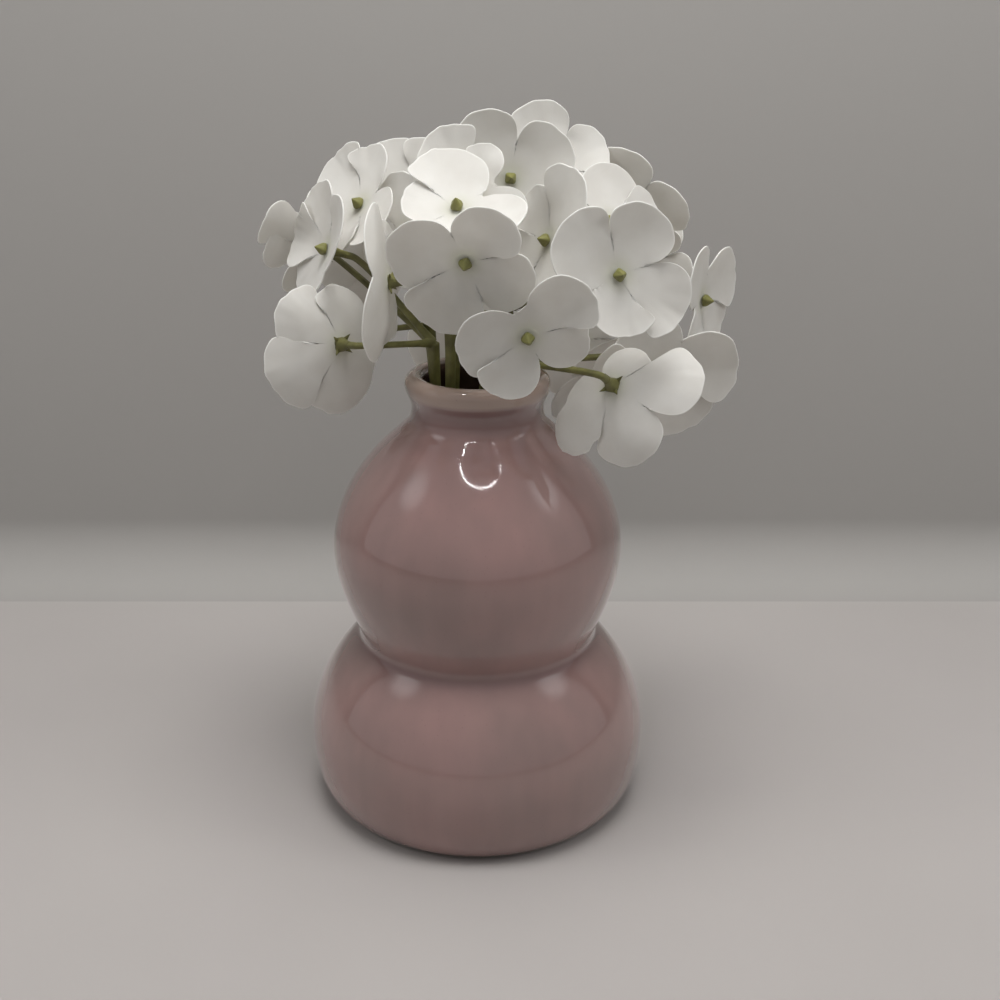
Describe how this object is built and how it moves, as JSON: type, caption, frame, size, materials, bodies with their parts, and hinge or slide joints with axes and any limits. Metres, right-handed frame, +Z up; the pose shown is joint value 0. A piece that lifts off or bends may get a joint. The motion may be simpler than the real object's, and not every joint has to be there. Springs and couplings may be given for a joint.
{
  "type": "gourd vase with flower bunch",
  "caption": "Two-bellied gourd vase of glazed ceramic with a rolled lip, holding a lift-out bunch of white four-lobed artificial blossoms on forked green stems.",
  "frame": {"origin": "centre of the vase's foot ring, on the surface it stands on", "axes": "+Z up along the vase's axis, -Y the side that the picture shows, +X to its right"},
  "size_m": [0.1831, 0.1451, 0.2745],
  "materials": {
    "pink_glaze": "gloss glaze",
    "petal_fabric": "matte heat-formed cloth",
    "stem_plastic": "satin moulded",
    "bead_plastic": "satin moulded",
    "wire": "drawn wire"
  },
  "bodies": {
    "vase": {"vase_body": "pink_glaze"},
    "bunch": {"beads_back_left": "bead_plastic", "beads_back_right": "bead_plastic", "beads_front": "bead_plastic", "beads_left": "bead_plastic", "beads_low_right": "bead_plastic", "beads_right": "bead_plastic", "beads_top": "bead_plastic", "beads_upper_left": "bead_plastic", "blossom_back_left_high": "petal_fabric", "blossom_back_left_inner": "petal_fabric", "blossom_back_left_low": "petal_fabric", "blossom_back_left_side": "petal_fabric", "blossom_back_right_high": "petal_fabric", "blossom_back_right_inner": "petal_fabric", "blossom_back_right_low": "petal_fabric", "blossom_back_right_side": "petal_fabric", "blossom_front_high": "petal_fabric", "blossom_front_low": "petal_fabric", "blossom_front_middle": "petal_fabric", "blossom_left_back": "petal_fabric", "blossom_left_low": "petal_fabric", "blossom_left_side": "petal_fabric", "blossom_low_right_back": "petal_fabric", "blossom_low_right_front": "petal_fabric", "blossom_low_right_side": "petal_fabric", "blossom_right_front": "petal_fabric", "blossom_right_high": "petal_fabric", "blossom_right_side": "petal_fabric", "blossom_top_back": "petal_fabric", "blossom_top_front": "petal_fabric", "blossom_top_left": "petal_fabric", "blossom_top_low": "petal_fabric", "blossom_upper_left_back": "petal_fabric", "blossom_upper_left_front": "petal_fabric", "blossom_upper_left_middle": "petal_fabric", "blossom_upper_left_side": "petal_fabric", "main_stem": "stem_plastic", "spray_back_left": "stem_plastic", "spray_back_right": "stem_plastic", "spray_front": "stem_plastic", "spray_left": "stem_plastic", "spray_low_right": "stem_plastic", "spray_right": "stem_plastic", "spray_top": "stem_plastic", "spray_upper_left": "stem_plastic", "stem_collar": "stem_plastic", "stem_wire": "wire"}
  },
  "joints": [
    {"name": "bunch_lift", "type": "slide", "parent": "vase", "child": "bunch", "axis": [0, 0, 1], "range_m": [0, 0.19]}
  ]
}
